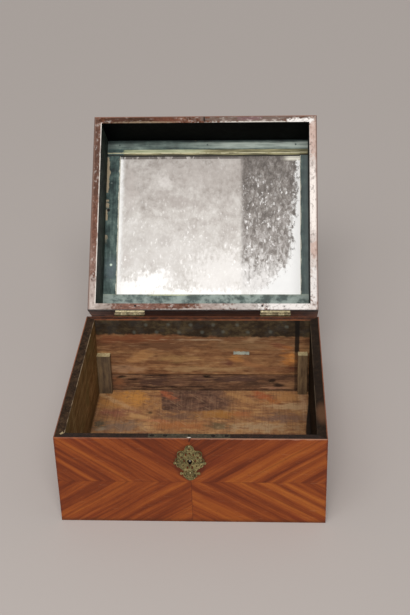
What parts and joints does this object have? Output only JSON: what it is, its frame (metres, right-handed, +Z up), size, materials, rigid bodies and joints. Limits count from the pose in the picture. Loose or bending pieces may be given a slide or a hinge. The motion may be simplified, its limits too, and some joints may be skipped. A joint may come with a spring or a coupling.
{
  "type": "wooden box",
  "caption": "Veneered wooden casket with a deep hinged lid, a looking glass inside the lid, a mortised lock and a pierced brass escutcheon; shown open.",
  "frame": {"origin": "centre of the flat underside of the base", "axes": "+Z up, +Y to the hinged back, +X to the right as seen from the front; the lid stands open at rest"},
  "size_m": [0.33, 0.5672, 0.353],
  "materials": {
    "front_veneer": "satin",
    "side_veneer": "satin",
    "carcass_wood": "matte",
    "floor_wood": "matte",
    "post_wood": "matte",
    "frame_paint": "matte",
    "plate_brass": "satin",
    "hinge_brass": "satin",
    "lock_iron": "matte",
    "lock_steel": "satin",
    "looking_glass": "gloss",
    "packing_paper": "matte"
  },
  "bodies": {
    "base": {"front_board": "carcass_wood", "left_board": "carcass_wood", "right_board": "carcass_wood", "back_board_lower": "carcass_wood", "back_board_upper": "carcass_wood", "floor_board_front": "floor_wood", "floor_board_middle": "floor_wood", "floor_board_back": "floor_wood", "left_post": "post_wood", "right_post": "post_wood", "front_veneer_upper_left": "front_veneer", "front_veneer_upper_right": "front_veneer", "front_veneer_lower_left": "front_veneer", "front_veneer_lower_right": "front_veneer", "left_veneer": "side_veneer", "right_veneer": "side_veneer", "back_veneer": "side_veneer", "escutcheon": "plate_brass", "escutcheon_pins": "plate_brass", "lock_plate": "lock_iron", "lock_cap": "lock_iron", "bolt_studs": "lock_steel", "bolt_spring": "lock_steel", "drill_pin": "lock_steel", "lock_screws": "lock_iron", "base_leaf_left": "hinge_brass", "base_leaf_right": "hinge_brass", "hinge_pins": "hinge_brass", "base_hinge_nails": "lock_iron"},
    "bolt": {"lock_bolt": "lock_steel"},
    "lid": {"lid_front_board": "carcass_wood", "lid_back_board": "carcass_wood", "lid_left_board": "carcass_wood", "lid_right_board": "carcass_wood", "lid_top_board_front": "carcass_wood", "lid_top_board_back": "carcass_wood", "lid_top_veneer_front_left": "front_veneer", "lid_top_veneer_front_right": "front_veneer", "lid_top_veneer_back_left": "front_veneer", "lid_top_veneer_back_right": "front_veneer", "lid_front_veneer_left": "front_veneer", "lid_front_veneer_right": "front_veneer", "lid_left_veneer": "side_veneer", "lid_right_veneer": "side_veneer", "lid_back_veneer": "side_veneer", "mirror_front_rail": "frame_paint", "mirror_rear_rail": "frame_paint", "mirror_left_stile": "frame_paint", "mirror_right_stile": "frame_paint", "mirror_glass": "looking_glass", "mirror_packing": "packing_paper", "frame_nails": "lock_iron", "lid_staple": "lock_iron", "lid_leaf_left": "hinge_brass", "lid_leaf_right": "hinge_brass", "lid_hinge_nails": "lock_iron"}
  },
  "joints": [
    {"name": "lid_hinge", "type": "hinge", "parent": "base", "child": "lid", "pos_m": [0, 0.1535, 0.1272], "axis": [1, 0, 0], "range_deg": [0, 132]},
    {"name": "bolt_slide", "type": "slide", "parent": "base", "child": "bolt", "axis": [-1, 0, 0], "range_m": [0, 0.0055]}
  ]
}
